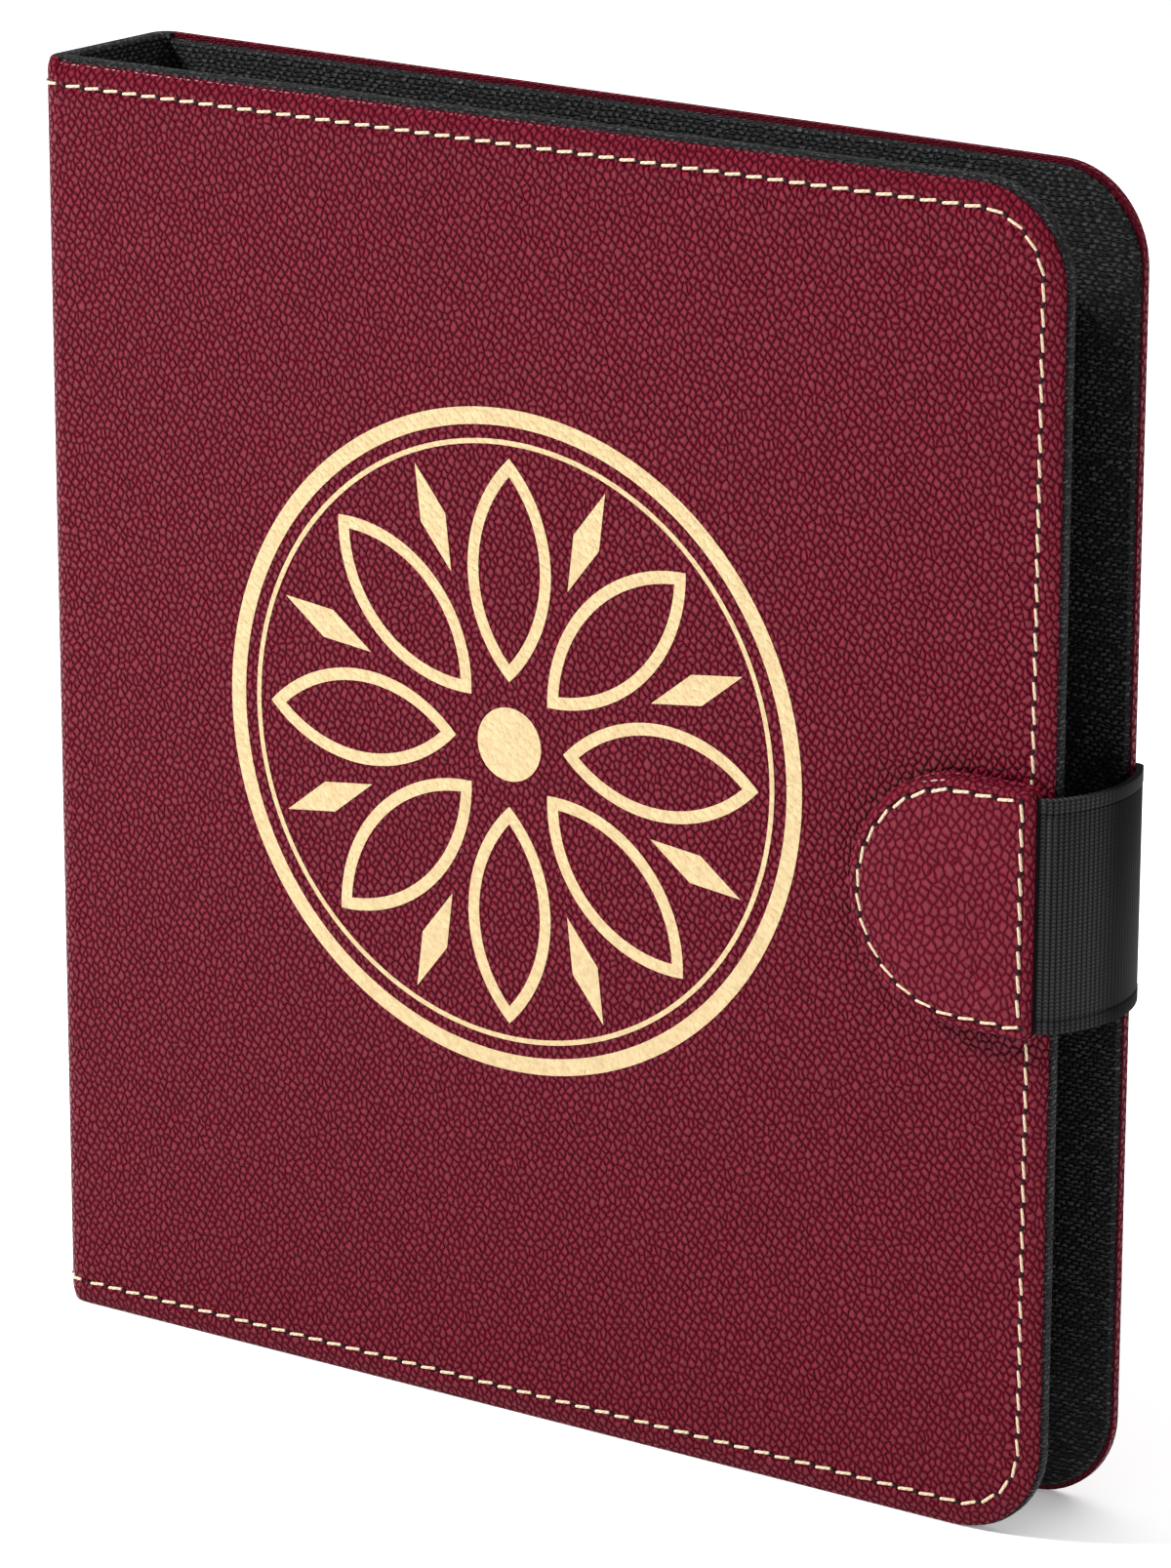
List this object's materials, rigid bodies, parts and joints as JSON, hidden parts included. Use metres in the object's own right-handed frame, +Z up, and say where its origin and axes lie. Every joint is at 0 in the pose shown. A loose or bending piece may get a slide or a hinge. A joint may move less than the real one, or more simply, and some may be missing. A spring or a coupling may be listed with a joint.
{
  "type": "trading card binder",
  "caption": "Leather-covered card binder with a square spine, hinged covers, fanned pocket pages and an elastic strap that closes on the front with a stitched tab.",
  "frame": {"origin": "middle of the closed binder's footprint, on the surface it stands on", "axes": "+X from the spine to the fore-edge, -Y out of the front cover, +Z up"},
  "size_m": [0.211, 0.0366, 0.23],
  "materials": {
    "leather": "wine-red pebbled imitation leather, satin",
    "board": "grey book board",
    "lining": "coarse black woven lining",
    "thread": "cream sewing thread",
    "foil": "pale gold hot-stamped foil",
    "elastic": "black ribbed woven elastic",
    "grip": "black hook-and-loop tape",
    "page": "black polypropylene sheet",
    "film": "clear glossy pocket film"
  },
  "bodies": {
    "back_cover": {"back_leather": "leather", "back_board": "board", "back_lining": "lining", "back_stitches": "thread", "anchor_patch": "leather", "anchor_stitches": "thread", "elastic_anchor": "elastic"},
    "spine": {"spine_leather": "leather", "spine_board": "board", "spine_lining": "lining", "spine_stitches": "thread", "page_binding": "page", "back_fold_leather": "leather", "back_fold_lining": "lining"},
    "front_cover": {"front_leather": "leather", "front_board": "board", "front_lining": "lining", "front_stitches": "thread", "foil_ornament": "foil", "loop_patch": "grip", "front_fold_leather": "leather", "front_fold_lining": "lining"},
    "strap": {"elastic_span": "elastic"},
    "tab": {"tab_leather": "leather", "tab_backing": "lining", "tab_stitches": "thread", "hook_patch": "grip", "elastic_tab_end": "elastic"},
    "page_01": {"page_01": "page", "page_01_pockets": "film"},
    "page_02": {"page_02": "page", "page_02_pockets": "film"},
    "page_03": {"page_03": "page", "page_03_pockets": "film"},
    "page_04": {"page_04": "page", "page_04_pockets": "film"},
    "page_05": {"page_05": "page", "page_05_pockets": "film"},
    "page_06": {"page_06": "page", "page_06_pockets": "film"},
    "page_07": {"page_07": "page", "page_07_pockets": "film"},
    "page_08": {"page_08": "page", "page_08_pockets": "film"},
    "page_09": {"page_09": "page", "page_09_pockets": "film"},
    "page_10": {"page_10": "page", "page_10_pockets": "film"},
    "page_11": {"page_11": "page", "page_11_pockets": "film"},
    "page_12": {"page_12": "page", "page_12_pockets": "film"},
    "page_13": {"page_13": "page", "page_13_pockets": "film"},
    "page_14": {"page_14": "page", "page_14_pockets": "film"},
    "page_15": {"page_15": "page", "page_15_pockets": "film"},
    "page_16": {"page_16": "page", "page_16_pockets": "film"}
  },
  "joints": [
    {"name": "spine_fold", "type": "hinge", "parent": "back_cover", "child": "spine", "pos_m": [-0.10382, 0.01444, 0.115], "axis": [0, 0, -1], "range_deg": [0, 90], "deforming": ["back_fold_leather", "back_fold_lining"]},
    {"name": "cover_fold", "type": "hinge", "parent": "spine", "child": "front_cover", "pos_m": [-0.10377, -0.01685, 0.115], "axis": [0, 0, -1], "range_deg": [0, 93], "deforming": ["front_fold_leather", "front_fold_lining"]},
    {"name": "strap_swing", "type": "hinge", "parent": "back_cover", "child": "strap", "pos_m": [0.10038, 0.01513, 0.115], "axis": [0, 0, 1], "range_deg": [0, 120], "deforming": ["elastic_span"]},
    {"name": "tab_peel", "type": "hinge", "parent": "strap", "child": "tab", "pos_m": [0.09856, -0.00679, 0.115], "axis": [0, 0, 1], "range_deg": [0, 100], "deforming": ["tab_leather", "tab_backing", "tab_stitches", "hook_patch", "elastic_tab_end"]},
    {"name": "page_turn_01", "type": "hinge", "parent": "spine", "child": "page_01", "pos_m": [-0.09987, 0.00932, 0.115], "axis": [0, 0, 1], "range_deg": [0, 67.51]},
    {"name": "page_turn_02", "type": "hinge", "parent": "spine", "child": "page_02", "pos_m": [-0.09987, 0.00791, 0.115], "axis": [0, 0, 1], "range_deg": [0, 59.08]},
    {"name": "page_turn_03", "type": "hinge", "parent": "spine", "child": "page_03", "pos_m": [-0.09987, 0.0065, 0.115], "axis": [0, 0, 1], "range_deg": [0, 50.64]},
    {"name": "page_turn_04", "type": "hinge", "parent": "spine", "child": "page_04", "pos_m": [-0.09987, 0.00508, 0.115], "axis": [0, 0, 1], "range_deg": [0, 42.2]},
    {"name": "page_turn_05", "type": "hinge", "parent": "spine", "child": "page_05", "pos_m": [-0.09987, 0.00367, 0.115], "axis": [0, 0, 1], "range_deg": [0, 33.76]},
    {"name": "page_turn_06", "type": "hinge", "parent": "spine", "child": "page_06", "pos_m": [-0.09987, 0.00226, 0.115], "axis": [0, 0, 1], "range_deg": [0, 25.33]},
    {"name": "page_turn_07", "type": "hinge", "parent": "spine", "child": "page_07", "pos_m": [-0.09987, 0.00085, 0.115], "axis": [0, 0, 1], "range_deg": [0, 16.89]},
    {"name": "page_turn_08", "type": "hinge", "parent": "spine", "child": "page_08", "pos_m": [-0.09987, -0.00056, 0.115], "axis": [0, 0, 1], "range_deg": [0, 8.45]},
    {"name": "page_turn_09", "type": "hinge", "parent": "spine", "child": "page_09", "pos_m": [-0.09987, -0.00198, 0.115], "axis": [0, 0, -1], "range_deg": [0, 8.73]},
    {"name": "page_turn_10", "type": "hinge", "parent": "spine", "child": "page_10", "pos_m": [-0.09987, -0.00339, 0.115], "axis": [0, 0, -1], "range_deg": [0, 17.45]},
    {"name": "page_turn_11", "type": "hinge", "parent": "spine", "child": "page_11", "pos_m": [-0.09987, -0.0048, 0.115], "axis": [0, 0, -1], "range_deg": [0, 26.17]},
    {"name": "page_turn_12", "type": "hinge", "parent": "spine", "child": "page_12", "pos_m": [-0.09987, -0.00621, 0.115], "axis": [0, 0, -1], "range_deg": [0, 34.89]},
    {"name": "page_turn_13", "type": "hinge", "parent": "spine", "child": "page_13", "pos_m": [-0.09987, -0.00762, 0.115], "axis": [0, 0, -1], "range_deg": [0, 43.61]},
    {"name": "page_turn_14", "type": "hinge", "parent": "spine", "child": "page_14", "pos_m": [-0.09987, -0.00903, 0.115], "axis": [0, 0, -1], "range_deg": [0, 52.33]},
    {"name": "page_turn_15", "type": "hinge", "parent": "spine", "child": "page_15", "pos_m": [-0.09987, -0.01045, 0.115], "axis": [0, 0, -1], "range_deg": [0, 61.05]},
    {"name": "page_turn_16", "type": "hinge", "parent": "spine", "child": "page_16", "pos_m": [-0.09987, -0.01186, 0.115], "axis": [0, 0, -1], "range_deg": [0, 69.76]}
  ],
  "couplings": [
    {"joint": "page_turn_01", "follows": "spine_fold", "ratio": 0.75},
    {"joint": "page_turn_02", "follows": "spine_fold", "ratio": 0.65625},
    {"joint": "page_turn_03", "follows": "spine_fold", "ratio": 0.5625},
    {"joint": "page_turn_04", "follows": "spine_fold", "ratio": 0.46875},
    {"joint": "page_turn_05", "follows": "spine_fold", "ratio": 0.375},
    {"joint": "page_turn_06", "follows": "spine_fold", "ratio": 0.28125},
    {"joint": "page_turn_07", "follows": "spine_fold", "ratio": 0.1875},
    {"joint": "page_turn_08", "follows": "spine_fold", "ratio": 0.09375},
    {"joint": "page_turn_09", "follows": "cover_fold", "ratio": 0.09375},
    {"joint": "page_turn_10", "follows": "cover_fold", "ratio": 0.1875},
    {"joint": "page_turn_11", "follows": "cover_fold", "ratio": 0.28125},
    {"joint": "page_turn_12", "follows": "cover_fold", "ratio": 0.375},
    {"joint": "page_turn_13", "follows": "cover_fold", "ratio": 0.46875},
    {"joint": "page_turn_14", "follows": "cover_fold", "ratio": 0.5625},
    {"joint": "page_turn_15", "follows": "cover_fold", "ratio": 0.65625},
    {"joint": "page_turn_16", "follows": "cover_fold", "ratio": 0.75}
  ]
}
